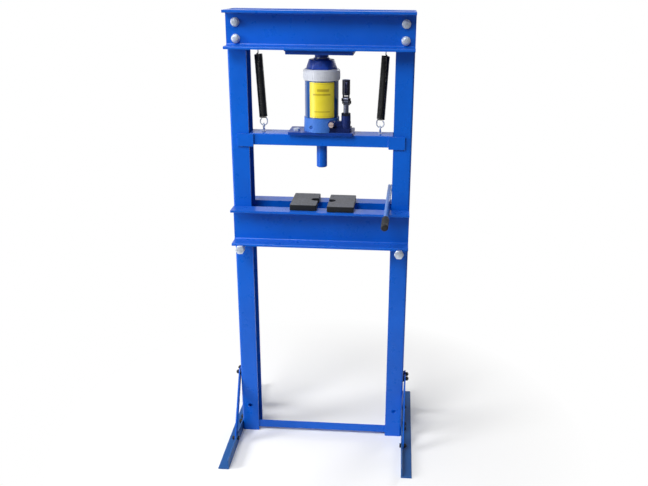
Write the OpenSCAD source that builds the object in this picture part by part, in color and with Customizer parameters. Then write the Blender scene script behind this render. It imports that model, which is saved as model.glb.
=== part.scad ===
// Floor-standing H-frame hydraulic press worked by a bottle jack.
// Millimetres, +Z up, front facing -Y. Origin: centre of the footprint, at floor level.

/* [Posts and beams] */
// Outside width over the two posts.
frame_w = 510; // [400:10:720]
// Overall height, floor to the top of the posts.
frame_h = 1300; // [1000:10:1700]
// Width of a post, seen from the front.
post_w = 52; // [40:1:90]
// Depth of a post, front face to rear face.
post_d = 64; // [50:1:110]
// Plate thickness of the formed posts.
post_t = 5; // [3:0.5:8]
// Height of the top beam channels.
beam_h = 100; // [80:5:160]
// Flange width of the top beam and bed channels.
beam_flange = 48; // [38:1:70]
// Web thickness of those channels.
beam_web_t = 5.5; // [4:0.5:9]
// Flange thickness of those channels.
beam_flange_t = 7.5; // [5:0.5:12]

/* [Bed] */
// Daylight: the bed's working face to the underside of the top beams.
daylight = 446; // [360:2:640]
// Height of the bed channels.
bed_h = 107; // [80:1:160]
// Diameter of the two bolts the bed rests on.
bed_bolt_d = 16; // [12:2:24]
// Length of a press plate, left to right.
plate_w = 76; // [50:1:110]
// Depth of a press plate, front to rear.
plate_d = 130; // [90:5:180]
// Thickness of a press plate.
plate_t = 17; // [12:1:35]
// Gap between the two press plates as stored.
plate_gap = 31; // [6:1:60]
// Width of the notch in the inner edge of each press plate.
notch_w = 24; // [12:1:40]

/* [Table] */
// Height of the sliding table's channel.
table_h = 32; // [24:1:50]
// Plate thickness of that channel.
table_t = 5; // [4:0.5:8]
// Diameter of the press ram under the table.
ram_d = 30; // [20:1:45]
// Length of the press ram below the table's web.
ram_len = 93; // [60:1:140]
// Width of the head plate and of the jack plate.
head_plate_w = 182; // [130:2:240]
// Thickness of the head plate under the top beam.
head_plate_t = 12; // [8:1:20]
// Thickness of the jack plate on the table.
jack_plate_t = 8; // [5:1:14]

/* [Jack] */
// Closed height of the jack, base to saddle.
jack_h = 212; // [190:2:260]
// Outside diameter of the oil tank.
tank_d = 94; // [80:1:130]
// Height of the cast base.
base_h = 38; // [30:1:60]
// Diameter of the lifting piston rod.
piston_d = 34; // [26:1:50]
// Diameter of the pump plunger.
plunger_d = 14; // [10:1:20]
// Distance from the jack's axis to the pump's axis.
pump_x = 70; // [62:1:95]
// Throw of the pump: distance from fulcrum pin to plunger pin.
pump_arm = 26; // [20:1:32]

/* [Feet] */
// Length of a foot, front to rear.
foot_len = 490; // [380:10:700]
// Leg width of the foot angles.
foot_leg = 32; // [28:1:60]
// Thickness of the foot angles.
foot_t = 4; // [3:0.5:8]
// Height of the upper brace bolts above the floor.
brace_h = 200; // [120:5:320]
// Distance of the lower brace bolts from the middle of the foot.
brace_reach = 112; // [80:2:180]

/* [Springs] */
// Outside diameter of a return spring.
spring_d = 22; // [16:1:30]
// Wire diameter of a return spring.
spring_wire = 3.2; // [2:0.1:5]

/* [Hidden] */
$fn = 64;
eps = 0.01;

// Named clearances.
slide_gap = 0.6;
run_gap = 0.05;
rest_gap = 0.3;
hole_gap = 0.5;

// Metric bolts: width across flats, height of head and of nut, washer.
function flats(d) = lookup(d, [[6, 10], [8, 13], [10, 16], [12, 18], [16, 24], [18, 27], [24, 36]]);
function head_h(d) = 0.63 * d;
function nut_h(d) = 0.82 * d;
function washer_od(d) = 2 * d;
washer_t = 2.5;

// Posts and beams.
post_x = (frame_w - post_w) / 2;
post_in = frame_w / 2 - post_w;
post_y = post_d / 2;
post_r = post_t + 1;
beam_bottom = frame_h - beam_h;
frame_bolt_d = 12;
frame_bolt_z = [frame_h - beam_h * 0.32, frame_h - beam_h * 0.75];
frame_grip = post_d + 2 * beam_web_t;
low_hole_z = 90;
low_hole_d = 13;
head_plate_d = post_d + beam_flange * 1.6;
plate_corner = 3;

// Bed.
bed_top = beam_bottom - daylight;
bed_y = post_y + slide_gap;
bed_bottom = bed_top - bed_h;
bed_bolt_z = bed_bottom - bed_bolt_d / 2 - rest_gap;
bed_bolt_grip = 2 * (post_y + slide_gap + beam_flange + 2);
spacer_x = post_in - 18;
spacer_t = 8;
plate_in = plate_gap / 2;
plate_shift = 5;
right_plate_y = -8;
notch_in = 8;

// Table and what rides on it.
head_plate_bottom = beam_bottom - head_plate_t;
jack_z = head_plate_bottom - rest_gap - jack_h;
table_top = jack_z - jack_plate_t;
table_bottom = table_top - table_h;
table_y = post_y + slide_gap;
table_x = post_in - 1.5;
guide_t = 5;
guide_drop = 5;
guide_h = table_h + guide_drop - 1;
guide_in = post_in - 13;
guide_out = post_in + post_w * 0.64;
plate_bolt = [head_plate_w * 0.38, 16];
plate_bolt_d = 10;
plate_bolt_len = table_t + jack_plate_t + nut_h(plate_bolt_d) + 18;
plate_screw = [26, -24];
jack_plate_d = 92;

// Jack.
neck_h = 17;
cap_h = 25;
band_h = 30;
base_top = jack_z + base_h;
cap_top = jack_z + jack_h - neck_h;
nut_top = cap_top - cap_h;
tank_top = nut_top - band_h;
tank_r = tank_d / 2;
tank_t = 3;
nut_r = tank_r + 4;
base_r = tank_r + 2;
base_out = 15;
rod_r = piston_d / 2;
bore_r = rod_r + 1;
cyl_r = bore_r + 7;
seal_t = 1.5;
seal_h = 5;
floor_z = jack_z + 22;
hex_af = tank_d * 0.79;
fulcrum_y = -2.4;
pump_r = plunger_d / 2 + 6;
pump_top = base_top + 8;
gland_h = 8;

// Pump lever: it turns about the fulcrum pin.
lever_deg = 25;
pin_d = 8;
plunger_pin_z = pump_top + gland_h + 36;
arm_y = pump_arm * cos(lever_deg);
arm_z = pump_arm * sin(lever_deg);
pump_y = fulcrum_y - arm_y;
fulcrum_z = plunger_pin_z - arm_z;
eye_t = 11;
eye_r = 9;
slot_y = (pump_arm - arm_y) / 2;
ear_t = 3.5;
sleeve_r = eye_t / 2 + rest_gap + ear_t + 1.5;
lug_r = 8;
lug_t = 4;
lug_x = eye_t / 2 + rest_gap + lug_t / 2;
flange_h = 12;
flange_front = pump_y - pump_r - 0.5;
flange_rear = fulcrum_y + lug_r + 1.5;
sleeve_z = plunger_pin_z + 14;
sleeve_h = 40;
lug_z = jack_z + 23;

// Release valve, on the front of the jack base.
valve_x = 31;
valve_z = jack_z + 24;
valve_face = -8 - sqrt(base_r * base_r - valve_x * valve_x);
valve_r = 5;

// Stored pump handle lying across the bed.
bar_r = 7;
grip_r = 10;
bar_len = 430;
grip_len = 80;
bar_x = 187.5;
bar_skew = 1.1;
bar_front = foot_len / 2 - 22;

// Springs, their eye bolts and the bars they hang on.
coil_r = (spring_d - spring_wire) / 2;
wire_r = spring_wire / 2;
eye_x = post_in - 38;
eye_wire_r = 2.2;
eye_ring_r = 6.5;
eye_z = table_top + 16;
eye_shank_d = 6;
eye_shank_out = 5;
eye_nut_z = table_top - table_t - nut_h(eye_shank_d);
hanger_r = 5;
hanger_x = post_in - 26;
hanger_z = beam_bottom + 12;
hook_low = eye_z + eye_ring_r - eye_wire_r - 2 * wire_r - rest_gap + wire_r + coil_r;
hook_high = hanger_z + hanger_r + rest_gap + wire_r - coil_r;
lean = atan2(hanger_x - eye_x, hook_high - hook_low);
hook_gap = (hook_high - hook_low) / cos(lean);
hook_leg = 20;
coil_z = coil_r - 1;
coil_len = hook_gap - 2 * coil_z - hook_leg;

// Feet.
foot_x = frame_w / 2;
brace_w = 25;
brace_t = 4;
brace_x = foot_x + foot_t;
brace_y = post_d * 0.22;
brace_z = foot_leg * 0.65;
brace_d = 8;
bolt_out = 9;
foot_bolt_d = 10;
foot_bolt_z = foot_leg * 0.58;
tie_leg = 25;
tie_t = 3;
tie_z = 10;

// Names of the parts, in order.

// ---- profiles ----

// Rolled channel, web on the Y axis, flanges to +X, lower outside corner at the origin.
module channel2d(h, f, tw, tf) {
    r = tf * 0.8;
    tip = tf * 0.4;
    difference() {
        union() {
            square([tw, h]);
            square([f, tf]);
            translate([0, h - tf]) square([f, tf]);
            translate([tw - eps, tf - eps]) square([r, r]);
            translate([tw - eps, h - tf - r + eps]) square([r, r]);
        }
        translate([tw + r, tf + r]) circle(r);
        translate([tw + r, h - tf - r]) circle(r);
        translate([f - tip, tf - tip]) corner2d(tip);
        translate([f - tip, h - tf + tip]) mirror([0, 1]) corner2d(tip);
    }
}

// What a rounded corner takes off a square one.
module corner2d(r) {
    difference() {
        square([r + 1, r + 1]);
        circle(r);
    }
}

// Rolled angle: legs along +X and +Y from the origin.
module angle2d(leg, t) {
    r = t * 0.9;
    difference() {
        union() {
            square([leg, t]);
            square([t, leg]);
            translate([t - eps, t - eps]) square([r, r]);
        }
        translate([t + r, t + r]) circle(r);
        translate([leg - t / 2, t / 2]) corner2d(t / 2);
        translate([t / 2, leg - t / 2]) corner2d(t / 2);
    }
}

// Square with rounded corners, centred.
module round2d(x, y, r) {
    square([x - 2 * r, y], center = true);
    square([x, y - 2 * r], center = true);
    for (i = [-1, 1]) {
        for (j = [-1, 1]) {
            translate([i * (x / 2 - r), j * (y / 2 - r)]) circle(r);
        }
    }
}

// Formed post, open towards the middle of the press, for the +X side.
module post2d() {
    difference() {
        union() {
            translate([post_in, -post_y]) square([post_w - post_r, post_d]);
            translate([post_in, -post_y + post_r]) square([post_w, post_d - 2 * post_r]);
            for (j = [-1, 1]) {
                translate([post_in + post_w - post_r, j * (post_y - post_r)]) circle(post_r);
            }
        }
        translate([post_in - 1, -post_y + post_t]) square([post_w - post_t + 1, post_d - 2 * post_t]);
    }
}

// Flat bar with round ends, its two holes left open.
module strap2d(len, w, d) {
    difference() {
        union() {
            translate([0, -w / 2]) square([len, w]);
            circle(w / 2);
            translate([len, 0]) circle(w / 2);
        }
        circle(d / 2);
        translate([len, 0]) circle(d / 2);
    }
}

// ---- placing helpers ----

// Runs a Y-Z profile along X, centred.
module along_x(len) {
    translate([-len / 2, 0, 0]) rotate([90, 0, 90]) linear_extrude(len) children();
}

// Runs an X-Z profile along Y, centred.
module along_y(len) {
    translate([0, len / 2, 0]) rotate([90, 0, 0]) linear_extrude(len) children();
}

// Turns something built on +Z to point along +Y.
module to_y() {
    rotate([-90, 0, 0]) children();
}

// Turns something built on +Z to point along +X.
module to_x() {
    rotate([0, 90, 0]) children();
}

// Hole along Y through a wall of the given thickness, centred.
module drill_y(d, t) {
    translate([0, -t, 0]) to_y() cylinder(d = d, h = 2 * t);
}

// The same along X.
module drill_x(d, t) {
    translate([-t, 0, 0]) to_x() cylinder(d = d, h = 2 * t);
}

// Copies on both sides of the press.
module both() {
    children();
    mirror([1, 0, 0]) children();
}

// Hexagon standing on the origin, its top corners turned off at 30 degrees.
module hex(af, h) {
    r_in = af * 0.475;
    r_out = af * 0.6;
    intersection() {
        cylinder(d = af / cos(30), h = h, $fn = 6);
        rotate_extrude()
            polygon([[0, -1], [r_out, -1], [r_out, h - (r_out - r_in) * tan(30)], [r_in, h], [0, h]]);
    }
}

// Hexagon bolt whose head lies below the origin and whose shank points up.
module bolt(d, len) {
    mirror([0, 0, 1]) hex(flats(d), head_h(d));
    translate([0, 0, -eps]) cylinder(d = d, h = len + eps);
}

// Nut with its hole, standing on the origin.
module nut(d) {
    difference() {
        hex(flats(d), nut_h(d));
        translate([0, 0, -1]) cylinder(d = d + 2 * run_gap, h = 2 * d);
    }
}

// Ring of round wire lying on the XY plane.
module ring(r, wire) {
    rotate_extrude() translate([r, 0]) circle(wire);
}

// Washer lying on the origin.
module washer(d, od, t) {
    difference() {
        cylinder(d = od, h = t);
        translate([0, 0, -1]) cylinder(d = d, h = t + 2);
    }
}

// ---- frame ----

module post() {
    difference() {
        linear_extrude(frame_h) post2d();
        for (z = frame_bolt_z) {
            translate([post_x, 0, z]) drill_y(frame_bolt_d + hole_gap, post_d);
        }
        translate([post_x, 0, bed_bolt_z]) drill_y(bed_bolt_d + hole_gap, post_d);
        translate([post_x, 0, low_hole_z]) drill_y(low_hole_d, post_d);
        for (j = [-1, 1]) {
            translate([foot_x, j * brace_y, brace_h]) drill_x(brace_d + hole_gap, 2 * post_t);
            translate([foot_x, j * brace_y, foot_bolt_z]) drill_x(foot_bolt_d + hole_gap, 2 * post_t);
        }
    }
}

module right_post() {
    color([0.05, 0.25, 0.72]) post();
}

module left_post() {
    color([0.05, 0.25, 0.72]) mirror([1, 0, 0]) post();
}

module beam() {
    difference() {
        along_x(frame_w) translate([post_y, beam_bottom])
            channel2d(beam_h, beam_flange, beam_web_t, beam_flange_t);
        at_beam_bolts() drill_y(frame_bolt_d + hole_gap, post_d);
    }
}

module top_beam_rear() {
    color([0.05, 0.25, 0.72]) beam();
}

module top_beam_front() {
    color([0.05, 0.25, 0.72]) mirror([0, 1, 0]) beam();
}

module at_beam_bolts() {
    for (i = [-1, 1]) {
        for (z = frame_bolt_z) {
            translate([i * post_x, 0, z]) children();
        }
    }
}

module beam_bolts() {
    color([0.72, 0.73, 0.74]) at_beam_bolts() translate([0, -frame_grip / 2 - washer_t, 0]) to_y()
        bolt(frame_bolt_d, frame_grip + 2 * washer_t + nut_h(frame_bolt_d) + 4);
}

module beam_washers() {
    color([0.72, 0.73, 0.74]) at_beam_bolts() for (y = [-frame_grip / 2 - washer_t, frame_grip / 2]) {
        translate([0, y, 0]) to_y() washer(frame_bolt_d + hole_gap, washer_od(frame_bolt_d), washer_t);
    }
}

module beam_nuts() {
    color([0.72, 0.73, 0.74]) at_beam_bolts() translate([0, frame_grip / 2 + washer_t, 0]) to_y()
        nut(frame_bolt_d);
}

module head_plate() {
    color([0.04, 0.2, 0.6]) translate([0, 0, head_plate_bottom]) linear_extrude(head_plate_t)
        round2d(head_plate_w, head_plate_d, plate_corner);
}

module spring_hangers() {
    color([0.04, 0.2, 0.6]) both() translate([hanger_x, -post_y, hanger_z]) to_y()
        cylinder(r = hanger_r, h = post_d);
}

// ---- feet ----

module foot() {
    difference() {
        translate([foot_x, 0, 0]) along_y(foot_len) angle2d(foot_leg, foot_t);
        for (j = [-1, 1]) {
            translate([foot_x, j * brace_reach, brace_z]) drill_x(brace_d + hole_gap, 2 * foot_t);
            translate([foot_x, j * brace_y, foot_bolt_z]) drill_x(foot_bolt_d + hole_gap, 2 * foot_t);
        }
    }
}

module right_foot() {
    color([0.05, 0.25, 0.72]) foot();
}

module left_foot() {
    color([0.05, 0.25, 0.72]) mirror([1, 0, 0]) foot();
}

module foot_bolts() {
    color([0.1, 0.1, 0.11]) both() for (j = [-1, 1]) {
        translate([foot_x - post_t, j * brace_y, foot_bolt_z]) to_x()
            bolt(foot_bolt_d, post_t + foot_t + foot_bolt_d + 1);
    }
}

module foot_nuts() {
    color([0.1, 0.1, 0.11]) both() for (j = [-1, 1]) {
        translate([foot_x + foot_t, j * brace_y, foot_bolt_z]) to_x() nut(foot_bolt_d);
    }
}

module brace(side) {
    dy = brace_reach - brace_y;
    dz = brace_h - brace_z;
    translate([brace_x, side * brace_y, brace_h]) rotate([side * atan2(dy, dz), 0, 0]) to_x()
        linear_extrude(brace_t) strap2d(norm([dy, dz]), brace_w, brace_d + hole_gap);
}

module right_braces() {
    color([0.05, 0.25, 0.72]) for (s = [-1, 1]) brace(s);
}

module left_braces() {
    color([0.05, 0.25, 0.72]) mirror([1, 0, 0]) for (s = [-1, 1]) brace(s);
}

module brace_spacers() {
    color([0.1, 0.1, 0.11]) both() for (j = [-1, 1]) {
        translate([foot_x, j * brace_y, brace_h]) to_x() washer(brace_d + hole_gap, 2.5 * brace_d, foot_t);
    }
}

module brace_bolts() {
    color([0.1, 0.1, 0.11]) both() for (j = [-1, 1]) {
        translate([foot_x - post_t, j * brace_y, brace_h]) to_x()
            bolt(brace_d, post_t + foot_t + brace_t + bolt_out);
        translate([foot_x, j * brace_reach, brace_z]) to_x() bolt(brace_d, foot_t + brace_t + bolt_out);
    }
}

module brace_nuts() {
    color([0.1, 0.1, 0.11]) both() for (j = [-1, 1]) {
        translate([brace_x + brace_t, j * brace_y, brace_h]) to_x() nut(brace_d);
        translate([brace_x + brace_t, j * brace_reach, brace_z]) to_x() nut(brace_d);
    }
}

module tie_bar() {
    color([0.05, 0.25, 0.72]) along_x(2 * post_in + post_w * 0.7)
        translate([-post_y + post_t, tie_z]) angle2d(tie_leg, tie_t);
}

// ---- bed ----

module bed_bolts() {
    color([0.72, 0.73, 0.74]) both() translate([post_x, -bed_bolt_grip / 2, bed_bolt_z]) to_y()
        bolt(bed_bolt_d, bed_bolt_grip + bed_bolt_d);
}

module bed_nuts() {
    color([0.72, 0.73, 0.74]) both() translate([post_x, bed_bolt_grip / 2, bed_bolt_z]) to_y()
        nut(bed_bolt_d);
}

module bed_channel() {
    along_x(frame_w) translate([bed_y, bed_bottom])
        channel2d(bed_h, beam_flange, beam_web_t, beam_flange_t);
}

module bed_rear() {
    color([0.05, 0.25, 0.72]) bed_channel();
}

module bed_front() {
    color([0.05, 0.25, 0.72]) mirror([0, 1, 0]) bed_channel();
}

module bed_spacers() {
    color([0.05, 0.25, 0.72]) both() translate([spacer_x - spacer_t, -bed_y, bed_bottom + bed_h * 0.2])
        cube([spacer_t, 2 * bed_y, bed_h * 0.6]);
}

// Press plate with a round-ended notch in its inner edge, lying towards +X.
module press_plate() {
    linear_extrude(plate_t) difference() {
        translate([plate_w / 2, 0]) round2d(plate_w, plate_d, plate_corner);
        translate([notch_in, 0]) circle(d = notch_w);
        translate([-1, -notch_w / 2]) square([notch_in + 1, notch_w]);
    }
}

module press_plate_right() {
    color([0.13, 0.14, 0.16]) translate([plate_in + plate_shift, right_plate_y, bed_top]) press_plate();
}

module press_plate_left() {
    color([0.13, 0.14, 0.16]) translate([plate_shift - plate_in, 0, bed_top]) 
        mirror([1, 0, 0]) press_plate();
}

module at_handle() {
    translate([bar_x, -bar_front, bed_top + bar_r + rest_gap]) rotate([0, 0, -bar_skew]) to_y() children();
}

module handle_bar() {
    color([0.62, 0.66, 0.72]) at_handle() difference() {
        translate([0, 0, 3]) cylinder(r = bar_r, h = bar_len);
        translate([0, 0, grip_len + 20]) cylinder(r = bar_r - 1.5, h = bar_len);
        translate([-1.6, -bar_r - 1, bar_len - 9]) cube([3.2, 2 * bar_r + 2, 20]);
    }
}

module handle_grip() {
    color([0.05, 0.05, 0.05]) at_handle() difference() {
        rotate_extrude() difference() {
            union() {
                translate([0, 4]) square([grip_r, grip_len - 8]);
                square([grip_r - 4, grip_len]);
                translate([grip_r - 4, 4]) circle(4);
                translate([grip_r - 4, grip_len - 4]) circle(4);
            }
            translate([-grip_r, -1]) square([grip_r, grip_len + 2]);
            for (k = [1:6]) {
                translate([grip_r + 1.2, grip_len * (0.12 + k * 0.115)]) circle(2.2);
            }
        }
        translate([0, 0, 3]) cylinder(r = bar_r + run_gap, h = grip_len);
    }
}

// ---- table ----

module table_beam() {
    color([0.05, 0.25, 0.72]) difference() {
        along_x(2 * table_x) translate([0, table_bottom]) difference() {
            translate([-table_y, 0]) square([2 * table_y, table_h]);
            translate([-table_y + table_t, -1]) square([2 * table_y - 2 * table_t, table_h - table_t - 2]);
            translate([-table_y + table_t + 3, -1])
                square([2 * table_y - 2 * table_t - 6, table_h - table_t + 1]);
            for (j = [-1, 1]) {
                translate([j * (table_y - table_t - 3), table_h - table_t - 3]) circle(3);
                translate([j * (table_y - 2), table_h - 2]) rotate([0, 0, j > 0 ? 0 : 90]) corner2d(2);
            }
        }
        at_plate_bolts() translate([0, 0, table_bottom])
            cylinder(d = plate_bolt_d + hole_gap, h = 2 * table_h);
        both() translate([eye_x, 0, table_bottom])
            cylinder(d = eye_shank_d + hole_gap, h = 2 * table_h);
    }
}

module guide_plates() {
    color([0.05, 0.25, 0.72]) both() for (j = [-1, 1]) {
        translate([(guide_in + guide_out) / 2, j * (table_y + guide_t / 2) + guide_t / 2,
            table_bottom - guide_drop + guide_h / 2]) rotate([90, 0, 0]) linear_extrude(guide_t)
            round2d(guide_out - guide_in, guide_h, 2);
    }
}

module press_ram() {
    color([0.05, 0.25, 0.72]) translate([0, 0, table_top - table_t - ram_len]) rotate_extrude()
        polygon([[0, 0], [ram_d / 2 - 2, 0], [ram_d / 2, 2], [ram_d / 2, ram_len], [0, ram_len]]);
}

module jack_plate() {
    color([0.04, 0.2, 0.6]) translate([0, 0, table_top]) difference() {
        linear_extrude(jack_plate_t) round2d(head_plate_w, jack_plate_d, plate_corner);
        at_plate_bolts() translate([0, 0, -1]) cylinder(d = plate_bolt_d + hole_gap, h = jack_plate_t + 2);
        at_base_screws() base_screw(run_gap);
    }
}

module at_plate_bolts() {
    for (s = [-1, 1]) {
        translate([s * plate_bolt[0], s * plate_bolt[1], 0]) children();
    }
}

module plate_bolts() {
    color([0.5, 0.52, 0.55]) at_plate_bolts() translate([0, 0, jack_z]) rotate([180, 0, 0])
        bolt(plate_bolt_d, plate_bolt_len);
}

module plate_nuts() {
    color([0.5, 0.52, 0.55]) at_plate_bolts() translate([0, 0, table_top - table_t]) mirror([0, 0, 1])
        nut(plate_bolt_d);
}

module eye_bolts() {
    color([0.08, 0.08, 0.09]) both() translate([eye_x, 0, 0]) {
        translate([0, 0, eye_z]) rotate([90, 0, 90]) ring(eye_ring_r, eye_wire_r);
        translate([0, 0, eye_nut_z - eye_shank_out])
            cylinder(d = eye_shank_d, h = eye_z - eye_ring_r - eye_nut_z + eye_shank_out + 0.5);
        translate([0, 0, table_top]) cylinder(d = 1.75 * eye_shank_d, h = washer_t);
    }
}

module eye_nuts() {
    color([0.08, 0.08, 0.09]) both() translate([eye_x, 0, table_top - table_t]) mirror([0, 0, 1])
        nut(eye_shank_d);
}

module spring() {
    translate([eye_x, 0, hook_low]) rotate([0, lean, 0]) {
        rotate([90, 0, 0]) ring(coil_r, wire_r, $fn = 48);
        translate([0, 0, hook_gap]) rotate([90, 0, 0]) ring(coil_r, wire_r, $fn = 48);
        translate([0, 0, coil_z + coil_len - 1]) cylinder(r = wire_r - 0.1, h = hook_leg + 0.6);
        translate([0, 0, coil_z]) difference() {
            cylinder(r = coil_r + wire_r, h = coil_len);
            translate([0, 0, spring_wire]) cylinder(r = coil_r - wire_r, h = coil_len - 2 * spring_wire);
        }
    }
}

module spring_right() {
    color([0.06, 0.06, 0.07]) spring();
}

module spring_left() {
    color([0.06, 0.06, 0.07]) mirror([1, 0, 0]) spring();
}

// ---- jack ----

module at_base_screws() {
    for (s = [-1, 1]) {
        translate([s * plate_screw[0], s * plate_screw[1], 0]) children();
    }
}

// Countersunk screw, head flush with the jack plate's underside.
module base_screw(gap) {
    rotate_extrude() polygon([[0, 0], [8 + gap, 0], [4 + gap, 4], [4 + gap, jack_plate_t + 14 + gap],
        [0, jack_plate_t + 14 + gap]]);
}

module base_screws() {
    color([0.3, 0.31, 0.33]) at_base_screws() translate([0, 0, table_top]) base_screw(0);
}

module jack_base() {
    color([0.1, 0.33, 0.8]) difference() {
        union() {
            translate([0, 0, jack_z]) cylinder(r1 = base_r + 1, r2 = base_r, h = base_h);
            translate([0, 0, base_top - 1]) cylinder(r = tank_r - tank_t - run_gap, h = 6);
            translate([(pump_x + base_out) / 2, (flange_front + flange_rear) / 2, jack_z])
                linear_extrude(flange_h) round2d(pump_x + base_out, flange_rear - flange_front, 6);
            translate([pump_x / 2, pump_y + 3, jack_z]) linear_extrude(base_h - 8)
                square([pump_x, 16], center = true);
            translate([pump_x, pump_y, jack_z]) cylinder(r = pump_r, h = pump_top - jack_z);
            translate([valve_x, valve_face, valve_z]) to_y() cylinder(r = 10, h = 30);
            for (s = [-1, 1]) {
                translate([pump_x + s * lug_x - lug_t / 2, fulcrum_y, 0]) to_x() linear_extrude(lug_t) {
                    translate([-lug_z, 0]) circle(lug_r);
                    translate([-lug_z, -lug_r]) square([lug_z - jack_z - 5, 2 * lug_r]);
                }
            }
        }
        translate([0, 0, floor_z - 6]) cylinder(r = cyl_r + run_gap, h = base_h);
        translate([pump_x, pump_y, jack_z + 8]) cylinder(r = plunger_d / 2 + run_gap, h = base_h * 2);
        translate([valve_x, valve_face - 1, valve_z]) to_y() cylinder(r = valve_r + run_gap, h = 18);
        translate([pump_x - 30, fulcrum_y, lug_z]) to_x() cylinder(d = pin_d + 2 * run_gap, h = 60);
        translate([-26, -base_r - 5, jack_z + 13]) to_y() cylinder(r = 5, h = 16);
        at_base_screws() translate([0, 0, table_top]) base_screw(run_gap);
    }
}

module tank() {
    color([0.05, 0.22, 0.62]) difference() {
        translate([0, 0, base_top]) cylinder(r = tank_r, h = tank_top - base_top);
        translate([0, 0, base_top - 1]) cylinder(r = tank_r - tank_t, h = tank_top - base_top + 2);
        at_filler() cylinder(r = 4.5 + run_gap, h = 20);
    }
}

module at_filler() {
    translate([0, 0, tank_top - 22]) rotate([0, 0, 125]) translate([tank_r - 8, 0, 0]) to_x() children();
}

module filler_plug() {
    color([0.04, 0.04, 0.04]) at_filler() rotate_extrude()
        polygon([[0, 0], [4.5, 0], [4.5, 8.6], [7, 8.6], [6, 11], [0, 11.5]]);
}

module tank_label() {
    color([0.93, 0.83, 0.1]) translate([0, 0, base_top + 3]) rotate([0, 0, -137]) rotate_extrude(angle = 90)
        translate([tank_r + run_gap, 0]) square([0.4, tank_top - base_top - 6]);
}

module tank_nut() {
    color([0.8, 0.8, 0.8]) translate([0, 0, tank_top]) rotate_extrude()
        polygon([[cyl_r + run_gap, -5], [tank_r - tank_t - run_gap, -5], [tank_r - tank_t - run_gap, 0],
            [nut_r - 1.5, 0], [nut_r, 1.5], [nut_r, band_h - 4], [nut_r - 4, band_h],
            [cyl_r + run_gap, band_h]]);
}

module cap_nut() {
    color([0.04, 0.18, 0.55]) translate([0, 0, nut_top]) difference() {
        intersection() {
            cylinder(d = hex_af / cos(30), h = cap_h, $fn = 6);
            cylinder(r1 = hex_af * 0.585, r2 = hex_af * 0.47, h = cap_h);
        }
        translate([0, 0, -1]) cylinder(r = cyl_r + run_gap, h = 9);
        translate([0, 0, -1]) cylinder(r = rod_r + run_gap, h = cap_h + 2);
    }
}

module cylinder_tube() {
    color([0.6, 0.61, 0.63]) difference() {
        translate([0, 0, floor_z - 6]) cylinder(r = cyl_r, h = nut_top + 8 - floor_z + 6);
        translate([0, 0, floor_z]) cylinder(r = bore_r, h = nut_top);
    }
}

module piston_rod() {
    color([0.66, 0.67, 0.7]) translate([0, 0, floor_z + 2.5]) difference() {
        union() {
            cylinder(r = bore_r - run_gap, h = 14);
            cylinder(r = rod_r, h = cap_top + 5 - floor_z - 2.5);
        }
        translate([0, 0, 4]) washer(2 * (rod_r - seal_t), 2 * bore_r + 2, seal_h);
    }
}

module piston_seal() {
    color([0.05, 0.05, 0.05]) translate([0, 0, floor_z + 6.6])
        washer(2 * (rod_r - seal_t), 2 * (bore_r - run_gap), seal_h - 0.2);
}

module saddle() {
    color([0.05, 0.18, 0.5]) translate([0, 0, cap_top + 5]) difference() {
        cylinder(r = rod_r + 2, h = neck_h - 5);
        for (r = [6, 12]) {
            translate([0, 0, neck_h - 6]) washer(2 * r, 2 * r + 4, 2);
        }
    }
}

// ---- pump ----

module pump_gland() {
    color([0.25, 0.27, 0.3]) translate([pump_x, pump_y, pump_top]) difference() {
        hex(plunger_d + 8, gland_h);
        translate([0, 0, -1]) cylinder(d = plunger_d + 2 * run_gap, h = gland_h + 2);
    }
}

module plunger() {
    color([0.72, 0.73, 0.76]) difference() {
        union() {
            translate([pump_x, pump_y, jack_z + 32])
                cylinder(d = plunger_d, h = plunger_pin_z - 14 - jack_z - 32);
            translate([pump_x - eye_t / 2, pump_y - slot_y, plunger_pin_z]) to_x() linear_extrude(eye_t) {
                translate([0, slot_y - plunger_d * 0.3]) square([15, plunger_d * 0.6]);
                translate([0, -slot_y]) circle(eye_r);
                translate([0, slot_y]) circle(eye_r);
                square([2 * eye_r, 2 * slot_y], center = true);
            }
        }
        translate([pump_x - eye_t, pump_y - slot_y, plunger_pin_z]) to_x() linear_extrude(2 * eye_t) {
            translate([0, -slot_y]) circle(pin_d / 2 + rest_gap);
            translate([0, slot_y]) circle(pin_d / 2 + rest_gap);
            square([pin_d + 2 * rest_gap, 2 * slot_y], center = true);
        }
    }
}

module fulcrum_link() {
    color([0.12, 0.13, 0.15]) translate([pump_x - eye_t / 2, fulcrum_y, lug_z]) to_x() rotate([0, 0, 180])
        linear_extrude(eye_t) strap2d(fulcrum_z - lug_z, 15, pin_d + 2 * run_gap);
}

module fulcrum_pin() {
    color([0.6, 0.61, 0.63]) translate([pump_x - 12, fulcrum_y, lug_z]) to_x() cylinder(d = pin_d, h = 24);
}

module lever_pins() {
    color([0.6, 0.61, 0.63]) {
        translate([pump_x - 12.5, pump_y, plunger_pin_z]) to_x() cylinder(d = pin_d, h = 25);
        translate([pump_x - 12.5, fulcrum_y, fulcrum_z]) to_x() cylinder(d = pin_d, h = 25);
    }
}

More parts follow.
